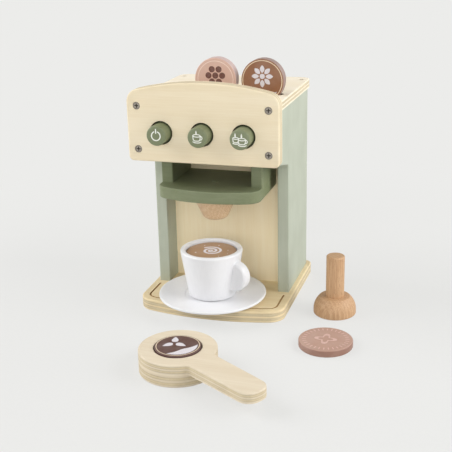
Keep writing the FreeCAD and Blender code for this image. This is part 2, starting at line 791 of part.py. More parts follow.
def all_screws():
    wood = (S.wood_screw_head, S.wood_screw_head_thick, S.wood_screw_shank)
    front = HEAD_FRONT - S.fascia_thick + S.wood_screw_sink
    group("fascia_screws", [
        screw(f"fascia_screw_{side}_{level_name}", wood + (S.fascia_screw_length,),
              sign * S.fascia_screw_spread, front, z, RIGHT, 90)
        for side, sign in SIDES
        for level_name, z in (("low", FASCIA_SCREW_LOW), ("high", FASCIA_SCREW_HIGH))])
    flat = (S.top_screw_head, S.wood_screw_head_thick, S.wood_screw_shank)
    group("top_screws", [
        screw(f"top_screw_{side}", flat + (S.top_screw_length,), sign * SIDE_MIDDLE, TOP_SCREW_Y,
              TOP_SURFACE - S.top_screw_sink)
        for side, sign in SIDES])
    spots = [(sign * SIDE_MIDDLE, y) for _, sign in SIDES for y in BASE_SPOTS_Y]
    spots += [(x, PARTITION_MIDDLE) for x in PARTITION_SPOTS_X]
    group("base_screws", [
        screw(f"base_screw_{number}", wood + (S.base_screw_length,), x, y, S.base_screw_sink, RIGHT, 180)
        for number, (x, y) in enumerate(spots, 1)])
    behind = PARTITION_FRONT + S.partition_thick - S.wood_screw_sink
    group("cradle_screws", [
        screw(f"cradle_screw_{side}_{number}", wood + (S.cradle_screw_length,),
              sign * WALL_MIDDLE, behind, S.shelf_top + z, LEFT, 90)
        for side, sign in SIDES for number, z in enumerate(CRADLE_SPOTS_Z, 1)])
    small = (S.spout_screw_head, S.spout_screw_head_thick, S.spout_screw_shank, S.spout_screw_length)
    head_top = S.shelf_top - S.spout_screw_sink
    nodes["spout_screw"] = screw("spout_screw", small, 0, -S.spout_setting, head_top)


# Tokens: three like discs, two upright in the top slots and one flat in the portafilter

def disc(name, radius, thick, edge_round):
    body = new_body(name)
    turned(body, [(0, 0), (radius, 0), (radius, thick), (0, thick)])
    round_edges(body, edge_round, lambda edge: ring(edge, radius, 0) or ring(edge, radius, thick))
    return body


def tokens():
    upright_y = HEAD_FRONT + S.slot_setback + S.token_thick / 2
    upright_z = TOP_SURFACE - S.slot_depth + S.token_seat_gap + S.token_radius
    for number, name in enumerate(("token_chocolate", "token_latte")):
        body = disc(name, S.token_radius, S.token_thick, S.token_edge_round)
        place(body, number * S.slot_spacing, upright_y, upright_z, RIGHT, 90)
    body = disc("token_espresso", S.token_radius, S.token_thick, S.token_edge_round)
    place(body, S.paddle_x, S.paddle_y, S.paddle_under, DOWN, S.paddle_angle)


# Cup on its saucer, with a coffee disc that lies on a ledge inside the rim

def cup_set():
    saucer = new_body("saucer")
    rim_low = S.saucer_rise - S.saucer_rim
    turned(saucer, [(0, 0), (S.saucer_foot, 0), (S.saucer_radius, rim_low),
                    (S.saucer_radius, S.saucer_rise), (S.saucer_radius - S.saucer_rim, S.saucer_rise),
                    (S.well_radius, S.saucer_floor + S.well_depth), (S.well_radius, S.saucer_floor),
                    (0, S.saucer_floor)])
    round_edges(saucer, S.saucer_rim_round, lambda edge: ring(edge, S.saucer_radius, rim_low)
                or ring(edge, S.saucer_radius, S.saucer_rise))
    place(saucer, S.cup_offset, -S.cup_setting, S.base_thick)
    low = S.base_thick + S.saucer_floor
    cup = new_body("cup_body")
    ledge = S.cup_height - S.disc_below_rim - S.disc_thick
    bore = S.disc_radius + S.disc_gap
    turned(cup, [(0, 0), (S.cup_low_radius, 0), (S.cup_rim_radius, S.cup_height), (bore, S.cup_height),
                 (bore, ledge), (S.cup_hollow_radius, ledge), (S.cup_hollow_radius, S.cup_floor),
                 (0, S.cup_floor)])
    round_edges(cup, S.cup_low_round, lambda edge: ring(edge, S.cup_low_radius, 0))
    round_edges(cup, S.cup_rim_round, lambda edge: ring(edge, S.cup_rim_radius, S.cup_height)
                or ring(edge, bore, S.cup_height))
    place(cup, S.cup_offset, -S.cup_setting, low)
    cup_disc = disc("cup_coffee_disc", S.disc_radius, S.disc_thick, S.disc_edge_round)
    place(cup_disc, S.cup_offset, -S.cup_setting, low + ledge)
    cup_handle(low)


def cup_handle(low):
    """A solid round lobe whose inner side is cut to the cup's tapered wall."""
    lobe = new_body("cup_handle_lobe", node=False)
    sketch = new_sketch(lobe, "XZ_Plane")
    circles(sketch, [(S.lobe_reach - S.lobe_radius, S.lobe_centre_height)], S.lobe_radius)
    extrude(lobe, sketch, S.lobe_thick, both=True)
    round_edges(lobe, S.lobe_edge_round, lambda edge: edge.Curve.TypeId == "Part::GeomCircle")
    wall = doc.addObject("Part::Cone", "cup_handle_wall")
    bind(wall, "Radius1", S.cup_low_radius)
    bind(wall, "Radius2", S.cup_rim_radius)
    bind(wall, "Height", S.cup_height)
    handle = doc.addObject("Part::Cut", "cup_handle")
    handle.Base = lobe
    handle.Tool = wall
    handle.Label = "cup_handle"
    nodes["cup_handle"] = handle
    place(handle, S.cup_offset, -S.cup_setting, low, DOWN, S.lobe_angle)


# Portafilter: a paddle board with a round opening for a token, and a round board under its head

def portafilter():
    paddle = new_body("portafilter_board")
    sketch = new_sketch(paddle, "XY_Plane")
    circles(sketch, [(0, 0)], S.paddle_radius)
    extrude(paddle, sketch, S.paddle_thick)
    neck = S.paddle_neck_width / 2
    end = S.paddle_end_width / 2
    root_x = S.paddle_radius / 2
    reach = S.paddle_handle_reach
    pad(paddle, [(root_x, -neck), (reach, -end), (reach, end), (root_x, neck)], S.paddle_thick)

    def at_neck(edge):
        return along(edge, UP) and 0 < edge.BoundBox.XMin < float(S.paddle_radius)

    def at_end(edge):
        return along(edge, UP) and same(edge.BoundBox.XMin, reach)

    round_edges(paddle, S.paddle_neck_round, at_neck)
    round_edges(paddle, S.paddle_end_round, at_end)
    round_edges(paddle, S.paddle_edge_round, lambda edge: level(edge, S.paddle_thick))
    bores(paddle, [(0, 0)], S.token_radius + S.recess_gap, S.paddle_thick, height=S.paddle_thick)
    place(paddle, S.paddle_x, S.paddle_y, S.paddle_under, DOWN, S.paddle_angle)
    under = new_body("portafilter_disc")
    turned(under, [(0, 0), (S.paddle_radius, 0), (S.paddle_radius, S.paddle_under), (0, S.paddle_under)])
    round_edges(under, S.paddle_edge_round, lambda edge: ring(edge, S.paddle_radius, 0))
    place(under, S.paddle_x, S.paddle_y, 0, DOWN, S.paddle_angle)


# Tamper: a domed foot with a flat top, and a round handle on a tenon

def tamper():
    foot = new_body("tamper_base")
    top = S.tamper_band + S.tamper_dome
    tenon = S.tamper_tenon_radius + S.bore_gap
    tenon_floor = top - S.tamper_tenon_length - S.bore_gap
    turned(foot, [(0, 0), (S.tamper_radius, 0), (S.tamper_radius, S.tamper_band, S.tamper_dome_arc),
                  (S.tamper_top_radius, top), (tenon, top), (tenon, tenon_floor), (0, tenon_floor)])
    round_edges(foot, S.tamper_edge_round, lambda edge: ring(edge, S.tamper_radius, 0))
    round_edges(foot, S.tamper_shoulder_round, lambda edge: ring(edge, S.tamper_top_radius, top))
    place(foot, S.tamper_x, S.tamper_y)
    handle = new_body("tamper_handle")
    length = S.tamper_height - top
    turned(handle, [(0, -S.tamper_tenon_length), (S.tamper_tenon_radius, -S.tamper_tenon_length),
                    (S.tamper_tenon_radius, 0), (S.tamper_handle_radius, 0), (S.tamper_handle_radius, length),
                    (0, length)])
    round_edges(handle, S.tamper_edge_round, lambda edge: ring(edge, S.tamper_handle_radius, length))
    place(handle, S.tamper_x, S.tamper_y, top)


def loose_disc():
    body = disc("loose_coffee_disc", S.disc_radius, S.disc_thick, S.disc_edge_round)
    place(body, S.loose_disc_x, S.loose_disc_y)


base_plate()
for side, sign in SIDES:
    side_panel(f"{side}_side_panel", sign)
    cradle_wall(f"cradle_{side}_wall", sign)
partition_panel()
top_panel()
fascia_panel()
button_board()
for number, name in ((-1, "power"), (0, "one_cup"), (1, "two_cups")):
    button(f"button_{name}", number)
    button_spring(f"spring_{name}", number)
cradle_shelf()
spout_cone()
group("cradle_dowels", [
    dowel(f"cradle_dowel_{side}_{number}", sign * WALL_MIDDLE, CRADLE_FRONT + y)
    for side, sign in SIDES for number, y in enumerate(DOWEL_SPOTS_Y, 1)])
all_screws()
tokens()
cup_set()
portafilter()
tamper()
loose_disc()
doc.recompute()

failed = [item.Name for item in doc.Objects if {"Invalid", "Error"} & set(item.State)]
failed += [name for name, item in nodes.items() if item.Shape.isNull() or not item.Shape.isValid()]
if failed:
    raise ValueError(f"failed: {failed}")
os.makedirs("parts", exist_ok=True)
for name, item in nodes.items():
    box = item.Shape.BoundBox
    sizes = " x ".join(f"{length:.1f}" for length in (box.XLength, box.YLength, box.ZLength))
    print(f"{name}: {len(item.Shape.Solids)} solids, volume {item.Shape.Volume:.0f}, size {sizes} mm")
    item.Shape.exportStep(f"parts/{name}.step")
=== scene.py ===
"""A wooden toy coffee maker with cup, portafilter, tamper and tokens: finishes, prints, lamps and camera."""
import math

import bpy
import numpy as np
from mathutils import Matrix, Vector


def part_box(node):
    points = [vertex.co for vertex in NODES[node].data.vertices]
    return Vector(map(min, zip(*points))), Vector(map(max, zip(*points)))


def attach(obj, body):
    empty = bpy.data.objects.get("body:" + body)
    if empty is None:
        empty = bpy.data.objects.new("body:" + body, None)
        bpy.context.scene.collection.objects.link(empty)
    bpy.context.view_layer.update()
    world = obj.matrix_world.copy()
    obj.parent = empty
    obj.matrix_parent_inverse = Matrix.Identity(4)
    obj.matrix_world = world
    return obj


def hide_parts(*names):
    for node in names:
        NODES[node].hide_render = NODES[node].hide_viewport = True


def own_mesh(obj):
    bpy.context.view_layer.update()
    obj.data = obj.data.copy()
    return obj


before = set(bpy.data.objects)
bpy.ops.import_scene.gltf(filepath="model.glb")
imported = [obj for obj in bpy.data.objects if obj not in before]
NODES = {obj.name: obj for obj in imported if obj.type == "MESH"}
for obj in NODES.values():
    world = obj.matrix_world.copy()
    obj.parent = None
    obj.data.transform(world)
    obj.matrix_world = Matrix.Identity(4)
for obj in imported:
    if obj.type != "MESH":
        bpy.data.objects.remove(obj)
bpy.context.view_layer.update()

MM = 0.001
AXES = "XYZ"
SPRUNG = ("power", "one_cup", "two_cups")


# Colours, written as they look in plain light: a pair is a timber's light and dark

PLY = ("EBDEC3", "E4D4B4")
BASE_PLY = ("EBDAB6", "E2CDA2")
# The partition's plywood is a lighter copy: painted light for its shaded place at the back of the bay
INNER_PLY_PAINTED_LIGHT = ("F9EBCB", "F3E1BB")
# The top panel's plywood is a lighter copy: painted light from above
TOP_PLY_PAINTED_LIGHT = ("F3EAD8", "EDE0C6")
HANDLE_PLY = ("DDD1BB", "D4C5AC")
CROSS_PLY = ("D6C8A8", "C8B794")
GLUE = "836C4B"
EDGE = "BDB096"
GROOVE = "A07A42"
BEECH = ("CBA781", "B68D66")
SPOUT_BEECH = ("DCC19D", "CBA985")
RAYS = "855F3C"
PALE_GREEN = "AEB4A2"
GREEN = "727A58"
PAINT_SHADE = "3A3A30"
WHITE = "E2E2E4"
CUP_SHADE = "9A9AA2"
COFFEE = "9F7E60"
PINK = "CDAA9A"
PINK_SIDE = "C4ABA5"
LATTE = "865837"
LATTE_SIDE = "8C7269"
ESPRESSO = "513129"
LOOSE = "AE8B7B"
LOOSE_SIDE = "916C5C"
CREAM_INK = "E6D3B4"
MILK_INK = "D8D3D8"
CHOCOLATE_INK = "5F2F20"
BLUSH_INK = "E9D2C6"
ROSE_INK = "CDAA9F"
ICON_INK = "E8EAE2"
INK_SHADE = "6A5A50"
STEEL = "A39C92"
TOP_STEEL = "5A4330"
# The spout screw is near black: painted shade for its hole on the shaded shelf
SPOUT_STEEL_PAINTED_SHADE = "3A342C"
SPRING_STEEL = "B5B4B0"
STAIN = "4E463C"
# Painted shade: the dark of screw sockets and of the rims of screw heads
SOCKET_SHADOW = "3B342D"
PURE_WHITE = "FFFFFF"
PAPER = ("DADAD8", "DEDEDC")
BACKGROUND = "ECECEA"


def linear(code):
    """The linear colour of a hex sRGB code, with full alpha."""
    parts = [int(code[start:start + 2], 16) / 255 for start in (0, 2, 4)]
    return [part / 12.92 if part <= 0.04045 else ((part + 0.055) / 1.055) ** 2.4 for part in parts] + [1.0]


def span(node, axis):
    """Where a node starts and ends along an axis, in millimetres."""
    return [corner[AXES.index(axis)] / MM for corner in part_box(node)]


# Most of a noise's values lie between these two
NOISE_LOW, NOISE_HIGH = 0.3, 0.7


class Finish:
    """One node material, built through short calls. Its place is in millimetres of the frame."""

    def __init__(self, name):
        self.material = bpy.data.materials.new(name)
        self.material.use_nodes = True
        self.tree = self.material.node_tree
        self.tree.nodes.clear()
        self.shader = self.add("ShaderNodeBsdfPrincipled")
        self.output = self.add("ShaderNodeOutputMaterial")
        self.tree.links.new(self.shader.outputs[0], self.output.inputs["Surface"])
        self.place = self.vector("SCALE", self.add("ShaderNodeTexCoord").outputs["Object"], scale=1 / MM)

    def add(self, kind, **settings):
        node = self.tree.nodes.new(kind)
        for key, value in settings.items():
            setattr(node, key, value)
        return node

    def feed(self, socket, value):
        if isinstance(value, bpy.types.NodeSocket):
            self.tree.links.new(value, socket)
        else:
            socket.default_value = value

    def math(self, operation, *values, clamp=False):
        node = self.add("ShaderNodeMath", operation=operation, use_clamp=clamp)
        for socket, value in zip(node.inputs, values):
            self.feed(socket, value)
        return node.outputs[0]

    def vector(self, operation, *values, scale=None, output="Vector"):
        node = self.add("ShaderNodeVectorMath", operation=operation)
        for socket, value in zip(node.inputs, values):
            self.feed(socket, value)
        if scale is not None:
            node.inputs["Scale"].default_value = scale
        return node.outputs[output]

    def part(self, axis):
        """The place along one axis, in millimetres."""
        split = self.add("ShaderNodeSeparateXYZ")
        self.feed(split.inputs[0], self.place)
        return split.outputs[axis]

    def offset(self, axis, middle):
        """How far the place lies from a middle along one axis, either way."""
        return self.math("ABSOLUTE", self.math("SUBTRACT", self.part(axis), middle))

    def noise(self, patch, detail=2.0, rough=0.5, shift=0.0):
        """Noise with patches of about that many millimetres: one size, or one each along X, Y and Z."""
        sizes = patch if isinstance(patch, tuple) else (patch, patch, patch)
        node = self.add("ShaderNodeTexNoise")
        moved = self.vector("ADD", self.vector("DIVIDE", self.place, sizes), (shift, shift, shift))
        self.feed(node.inputs["Vector"], moved)
        node.inputs["Scale"].default_value = 1.0
        node.inputs["Detail"].default_value = detail
        node.inputs["Roughness"].default_value = rough
        return node.outputs[0]

    def grain(self, axis, figure, shift=0.0):
        """Noise drawn out along an axis. A figure is its length, width, detail and roughness."""
        length, width, detail, rough = figure
        return self.noise(tuple(length if name == axis else width for name in AXES), detail, rough, shift)

    def ramp(self, value, low, high, start=0.0, end=1.0):
        """Start below low, end above high, and a smooth run between."""
        node = self.add("ShaderNodeMapRange", interpolation_type="SMOOTHSTEP")
        for socket, item in zip(node.inputs, (value, low, high, start, end)):
            self.feed(socket, item)
        return node.outputs[0]

    def spread(self, noise, start=0.0, end=1.0):
        """A noise's usual range, spread smoothly from start to end."""
        return self.ramp(noise, NOISE_LOW, NOISE_HIGH, start, end)

    def blend(self, first, second, share):
        """That share of the first value, and the rest of the second."""
        return self.math("MULTIPLY_ADD", first, share, self.math("MULTIPLY", second, 1 - share))

    def mix(self, share, low, high):
        """A colour between low and high, each a hex code or another colour's output."""
        node = self.add("ShaderNodeMix", data_type="RGBA")
        self.feed(node.inputs["Factor"], share)
        for socket, item in ((node.inputs[6], low), (node.inputs[7], high)):
            self.feed(socket, linear(item) if isinstance(item, str) else item)
        return node.outputs[2]

    def dress(self, colour, roughness, height, depth, **plain):
        """Colour, roughness and bump on the shader. Plain settings go on its own sockets."""
        self.feed(self.shader.inputs["Base Color"], colour)
        self.feed(self.shader.inputs["Roughness"], roughness)
        bump = self.add("ShaderNodeBump")
        bump.inputs["Distance"].default_value = depth * MM
        self.feed(bump.inputs["Height"], height)
        self.tree.links.new(bump.outputs[0], self.shader.inputs["Normal"])
        for key, value in plain.items():
            self.shader.inputs[key.replace("_", " ")].default_value = value
        return self.material


# Plywood: face veneers and inner plies, whose grain turns from one to the next

BROAD_FIGURE = (190, 15, 2.0, 0.5)
FINE_FIGURE = (46, 1.6, 3.0, 0.6)
PORE_FIGURE = (7, 0.32, 1.0, 0.5)
BROAD_SHARE = 0.55
FIGURE_RANGE = (0.28, 0.72)
PORE_RANGE = (0.6, 0.74)
PORE_TONE, PORE_DEPTH = 0.25, 0.6


def wood_figure(finish, axis, timber, shift):
    """Colour and relief of timber whose grain runs along an axis."""
    broad = finish.grain(axis, BROAD_FIGURE, shift)
    fine = finish.grain(axis, FINE_FIGURE, shift)
    pores = finish.ramp(finish.grain(axis, PORE_FIGURE, shift), *PORE_RANGE)
    tone = finish.ramp(finish.blend(broad, fine, BROAD_SHARE), *FIGURE_RANGE)
    tone = finish.math("MULTIPLY_ADD", pores, PORE_TONE, tone, clamp=True)
    relief = finish.math("MULTIPLY_ADD", pores, -PORE_DEPTH, fine)
    return finish.mix(tone, *timber), relief


THIN_PLIES, THICK_PLIES = 3, 5
PLY_WAVER, WAVER_PATCH = 0.5, 26
FAINTEST, FAINT_PATCH = 0.35, 30
PLY_ROUGHNESS, PLY_GLOSS, PLY_BUMP = (0.6, 0.72), 0.3, 0.03
GLUE_SHARE, EDGE_SHARE = 0.75, 0.34
# The rest count in layers, from a face or to each side of a joint between two layers
FACE_SKIN = 0.2
EDGE_START, EDGE_FULL = FACE_SKIN + 0.1, FACE_SKIN + 0.3
GLUE_HALF, GLUE_CORE = 0.11, 0.11 / 3


def plywood(name, node, through, along, layers=THICK_PLIES, timber=PLY, groove=None):
    """Plywood for a board that is thin along one axis and has its face grain along another."""
    low, high = span(node, through)
    across = next(axis for axis in AXES if axis not in (through, along))
    finish = Finish(name)
    waver = finish.math("MULTIPLY_ADD", finish.noise(WAVER_PATCH), PLY_WAVER, -PLY_WAVER / 2)
    depth = finish.math("ADD", finish.part(through), waver)
    count = finish.math("MULTIPLY", finish.math("SUBTRACT", depth, low), layers / (high - low))
    count = finish.math("MINIMUM", finish.math("MAXIMUM", count, FACE_SKIN), layers - FACE_SKIN)
    crossing = finish.math("MODULO", finish.math("FLOOR", count), 2)
    aside = finish.math("ABSOLUTE", finish.math("SUBTRACT", finish.math("FRACT", count), 0.5))
    glue = finish.ramp(aside, 0.5 - GLUE_HALF, 0.5 - GLUE_CORE)
    face, relief = wood_figure(finish, along, timber, low)
    core, _ = wood_figure(finish, across, CROSS_PLY, high)
    colour = finish.mix(crossing, face, core)
    broken = finish.spread(finish.noise(FAINT_PATCH, shift=high), FAINTEST, 1.0)
    outer = finish.math("MINIMUM", count, finish.math("SUBTRACT", layers, count))
    inside = finish.math("MULTIPLY", finish.ramp(outer, EDGE_START, EDGE_FULL), EDGE_SHARE)
    colour = finish.mix(finish.math("MULTIPLY", inside, broken), colour, EDGE)
    glue = finish.math("MULTIPLY", finish.math("MULTIPLY", glue, broken), GLUE_SHARE)
    colour = finish.mix(glue, colour, GLUE)
    if groove is not None:
        colour = finish.mix(groove(finish), colour, GROOVE)
    return finish.dress(colour, finish.spread(relief, *PLY_ROUGHNESS), relief, PLY_BUMP,
                        Specular_IOR_Level=PLY_GLOSS)


# How far under the top face the line's colour starts and ends, and how far in from the plate's edge
GROOVE_SHOW, GROOVE_FLOOR, BORDER = 0.2, 2.0, 4.0
GROOVE_SHARE = 0.85
# The radius of the plate's bowed front edge
BASE_BOW = 270.0


def engraved_line(finish):
    """Where the base's top face is cut by its engraved line: under the face, and away from the edge."""
    low, high = (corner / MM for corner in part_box("base_plate"))
    under = finish.math("LESS_THAN", finish.part("Z"), high.z - GROOVE_SHOW)
    above = finish.math("GREATER_THAN", finish.part("Z"), high.z - GROOVE_FLOOR)
    aside = finish.math("LESS_THAN", finish.offset("X", 0), high.x - BORDER)
    level = finish.vector("MULTIPLY", finish.place, (1, 1, 0))
    fore = finish.vector("DISTANCE", level, (0, low.y + BASE_BOW, 0), output="Value")
    inside = finish.math("LESS_THAN", fore, BASE_BOW - BORDER)
    cut = finish.math("MULTIPLY", under, above)
    for other in (aside, inside):
        cut = finish.math("MULTIPLY", cut, other)
    return finish.math("MULTIPLY", cut, GROOVE_SHARE)


# Paint: each plain noise is its patch in millimetres and its detail

PAINT_CLOUDS, PAINT_SPECKS = (34, 3.0), (0.7, 2.0)
PAINT_GRAIN = (46, 1.7, 3.0, 0.6)
PAINT_RANGE = (0.32, 0.68)
CLOUD_SHARE, GRAIN_SHARE = 0.6, 0.7
SHADE_SHARE, TINT_SHARE = 0.07, 0.04
PAINT_ROUGHNESS, CUP_ROUGHNESS = (0.46, 0.55), (0.32, 0.41)
PAINT_GLOSS, PAINT_BUMP = 0.4, 0.03


def paint(name, code, shade=PAINT_SHADE, roughness=PAINT_ROUGHNESS, grain="Z"):
    """Matt toy paint over wood: faint clouds, the grain showing through, fine orange peel."""
    finish = Finish(name)
    clouds, specks = finish.noise(*PAINT_CLOUDS), finish.noise(*PAINT_SPECKS)
    telegraph = finish.grain(grain, PAINT_GRAIN)
    tone = finish.ramp(finish.blend(clouds, telegraph, CLOUD_SHARE), *PAINT_RANGE)
    low = finish.mix(SHADE_SHARE, code, shade)
    high = finish.mix(TINT_SHARE, code, PURE_WHITE)
    height = finish.blend(telegraph, specks, GRAIN_SHARE)
    return finish.dress(finish.mix(tone, low, high), finish.spread(specks, *roughness), height, PAINT_BUMP,
                        Specular_IOR_Level=PAINT_GLOSS)


DISC_CLOUDS, DISC_SPECKS = (12, 3.0), (0.5, 2.0)
DISC_CLOUD_SHARE, DISC_TINT_SHARE = 0.1, 0.35
DISC_ROUGHNESS, DISC_BUMP = (0.42, 0.54), 0.02
# How far under its faces a disc's face colour ends and its side's colour starts, in millimetres
FACE_END, SIDE_START = 0.25, 0.5


def two_tone_paint(name, node, through, face_code, side_code):
    """A painted disc whose printed face has its own colour, and whose rim keeps the body colour."""
    low, high = span(node, through)
    half = (high - low) / 2
    finish = Finish(name)
    flat = finish.ramp(finish.offset(through, (low + high) / 2), half - SIDE_START, half - FACE_END)
    clouds = finish.math("MULTIPLY", finish.spread(finish.noise(*DISC_CLOUDS)), DISC_CLOUD_SHARE)
    specks = finish.noise(*DISC_SPECKS)
    tint = finish.mix(DISC_TINT_SHARE, face_code, PURE_WHITE)
    colour = finish.mix(clouds, finish.mix(flat, side_code, face_code), tint)
    return finish.dress(colour, finish.spread(specks, *DISC_ROUGHNESS), specks, DISC_BUMP)


INK_MOTTLE, INK_SPECKS = (1.6, 3.0), (0.3, 2.0)
INK_SHADE_SHARE, INK_TINT_SHARE = 0.06, 0.05
INK_ROUGHNESS, INK_BUMP = (0.45, 0.56), 0.01


def ink(name, code):
    """Screen print: nearly even, with a faint mottle and fine specks."""
    finish = Finish(name)
    mottle, specks = finish.spread(finish.noise(*INK_MOTTLE)), finish.noise(*INK_SPECKS)
    low = finish.mix(INK_SHADE_SHARE, code, INK_SHADE)
    high = finish.mix(INK_TINT_SHARE, code, PURE_WHITE)
    rough = finish.spread(specks, *INK_ROUGHNESS)
    return finish.dress(finish.mix(mottle, low, high), rough, specks, INK_BUMP)


# Turned beech, from a tree whose heart lies beside the piece

HEART_X, HEART_Y = 31, 24
TREE_TAPER = 0.03
RING_GAP = 0.55
RING_WAVER, WAVER_FIGURE = 9.0, (160, 16, 2.0, 0.5)
STREAK_FIGURE = (30, 0.8, 3.0, 0.6)
RAY_FIGURE, RAY_RANGE = (4.5, 0.5, 1.0, 0.5), (0.62, 0.72)
BAND_TONE, BEECH_RANGE = 0.05, (0.28, 0.7)
RAY_SHARE, RAY_DEPTH = 0.55, 0.7
BEECH_ROUGHNESS, BEECH_BUMP = (0.5, 0.62), 0.04


def beech(name, node, timber=BEECH):
    """Turned beech with upright grain: faint growth bands, fine streaks and short dark rays."""
    low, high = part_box(node)
    centre = (low + high) / 2 / MM
    finish = Finish(name)
    level = finish.vector("MULTIPLY", finish.place, (1, 1, TREE_TAPER))
    radius = finish.vector("DISTANCE", level, (centre.x + HEART_X, centre.y + HEART_Y, 0), output="Value")
    waver = finish.grain("Z", WAVER_FIGURE)
    rings = finish.math("MULTIPLY_ADD", waver, RING_WAVER, finish.math("DIVIDE", radius, RING_GAP))
    bands = finish.math("SINE", rings)
    fine = finish.grain("Z", STREAK_FIGURE)
    rays = finish.ramp(finish.grain("Z", RAY_FIGURE), *RAY_RANGE)
    tone = finish.ramp(finish.math("MULTIPLY_ADD", bands, BAND_TONE, fine), *BEECH_RANGE)
    colour = finish.mix(finish.math("MULTIPLY", rays, RAY_SHARE), finish.mix(tone, *timber), RAYS)
    relief = finish.math("MULTIPLY_ADD", rays, -RAY_DEPTH, fine)
    return finish.dress(colour, finish.spread(fine, *BEECH_ROUGHNESS), relief, BEECH_BUMP)


# Steel for screws and springs

BRUSHED, STAINS = (0.25, 3.0), (1.6, 2.0)
STAIN_SHARE = 0.35
STEEL_ROUGHNESS, TOP_ROUGHNESS = (0.42, 0.6), (0.62, 0.8)
SPOUT_ROUGHNESS, SPRING_ROUGHNESS = (0.52, 0.7), (0.22, 0.4)
STEEL_BUMP = 0.02
STEEL_METALLIC, TOP_METALLIC = 0.6, 0.2


def metal(name, code, roughness, shade=None, metallic=STEEL_METALLIC):
    """Plain steel with a worn, slightly brushed face, and painted shade where the shade says so."""
    finish = Finish(name)
    brushed, stains = finish.noise(*BRUSHED), finish.noise(*STAINS)
    colour = finish.mix(finish.spread(stains), code, finish.mix(STAIN_SHARE, code, STAIN))
    # Painted shade: sockets and head rims go dark
    if shade is not None:
        colour = finish.mix(shade(finish), colour, SOCKET_SHADOW)
    return finish.dress(colour, finish.spread(brushed, *roughness), brushed, STEEL_BUMP, Metallic=metallic)


# Painted shadow on screws: a head darkens towards its edge, for the shaded gap round it, and in its socket
# below the lip
HEAD_RADIUS, HEAD_RIM, RIM_SHADOW_SHARE = 3.6, 2.75, 0.75
SOCKET_LIP = 0.12


def screw_painted_shadow(node, out, sign):
    """Painted shadow for screws that lie alike about their middle: in their sockets and round the rims of
    their heads.
    """
    start, end = span(node, out)
    face = start if sign < 0 else end

    def shade(finish):
        sunk = finish.math("MULTIPLY", finish.math("SUBTRACT", face, finish.part(out)), sign)
        sunk = finish.ramp(sunk, SOCKET_LIP, 2 * SOCKET_LIP)
        squares = []
        for axis in AXES.replace(out, ""):
            low, high = span(node, axis)
            apart = (high - low) / 2 - HEAD_RADIUS
            away = finish.math("SUBTRACT", finish.offset(axis, (low + high) / 2), apart)
            squares.append(finish.math("MULTIPLY", away, away))
        reach = finish.math("SQRT", finish.math("ADD", *squares))
        return finish.math("MAXIMUM", sunk, finish.ramp(reach, HEAD_RIM, HEAD_RADIUS, 0.0, RIM_SHADOW_SHARE))

    return shade


# What each piece is made of

def assign(material, *names):
    """Gives nodes one material in all their slots."""
    for name in names:
        mesh = NODES[name].data
        if not mesh.materials:
            mesh.materials.append(material)
        for index in range(len(mesh.materials)):
            mesh.materials[index] = material


assign(plywood("base_ply", "base_plate", "Z", "X", timber=BASE_PLY, groove=engraved_line), "base_plate")
# The partition board takes a lighter copy of the plywood: painted light
assign(plywood("partition_ply", "partition_panel", "Y", "Z", THIN_PLIES, INNER_PLY_PAINTED_LIGHT), "partition_panel")
# The top panel takes a lighter copy of the plywood: painted light from above
assign(plywood("top_ply", "top_panel", "Z", "X", timber=TOP_PLY_PAINTED_LIGHT), "top_panel")
assign(plywood("fascia_ply", "fascia_panel", "Y", "X"), "fascia_panel")
assign(plywood("board_ply", "button_board", "Y", "X", THIN_PLIES), "button_board")
assign(plywood("handle_ply", "portafilter_board", "Z", "X", timber=HANDLE_PLY), "portafilter_board")
assign(plywood("head_ply", "portafilter_disc", "Z", "X", timber=HANDLE_PLY), "portafilter_disc")
assign(paint("side_paint", PALE_GREEN), "left_side_panel", "right_side_panel")
assign(paint("cradle_paint", GREEN, grain="X"), "cradle_left_wall", "cradle_right_wall", "cradle_shelf")
assign(paint("button_paint", GREEN, grain="Y"), *(f"button_{name}" for name in SPRUNG))
assign(paint("cup_paint", WHITE, CUP_SHADE, CUP_ROUGHNESS), "saucer", "cup_body", "cup_handle")
assign(beech("spout_beech", "spout_cone", SPOUT_BEECH), "spout_cone", "cradle_dowels")
assign(beech("tamper_beech", "tamper_base"), "tamper_base", "tamper_handle")
assign(two_tone_paint("cup_coffee_paint", "cup_coffee_disc", "Z", COFFEE, COFFEE), "cup_coffee_disc")
assign(two_tone_paint("loose_coffee_paint", "loose_coffee_disc", "Z", LOOSE, LOOSE_SIDE),
       "loose_coffee_disc")
assign(two_tone_paint("chocolate_paint", "token_chocolate", "Y", PINK, PINK_SIDE), "token_chocolate")
assign(two_tone_paint("latte_paint", "token_latte", "Y", LATTE, LATTE_SIDE), "token_latte")
assign(two_tone_paint("espresso_paint", "token_espresso", "Z", ESPRESSO, ESPRESSO), "token_espresso")
assign(metal("fascia_steel", STEEL, STEEL_ROUGHNESS, screw_painted_shadow("fascia_screws", "Y", -1)), "fascia_screws")
assign(metal("top_steel", TOP_STEEL, TOP_ROUGHNESS, screw_painted_shadow("top_screws", "Z", 1), TOP_METALLIC),
       "top_screws")
# The spout screw's near-black colour is painted shade
assign(metal("spout_steel", SPOUT_STEEL_PAINTED_SHADE, SPOUT_ROUGHNESS, screw_painted_shadow("spout_screw", "Z", 1)), "spout_screw")
assign(metal("base_steel", STEEL, STEEL_ROUGHNESS, screw_painted_shadow("base_screws", "Z", -1)), "base_screws")
assign(metal("cradle_steel", STEEL, STEEL_ROUGHNESS, screw_painted_shadow("cradle_screws", "Y", 1)), "cradle_screws")


# Flat shapes for the prints: loops of points in millimetres, filled where they count odd

def arc(radius, start, end, centre=(0, 0), steps=48):
    """Points along an arc between two angles in degrees."""
    angles = np.radians(np.linspace(start, end, steps))
    return np.column_stack((centre[0] + radius * np.cos(angles), centre[1] + radius * np.sin(angles)))


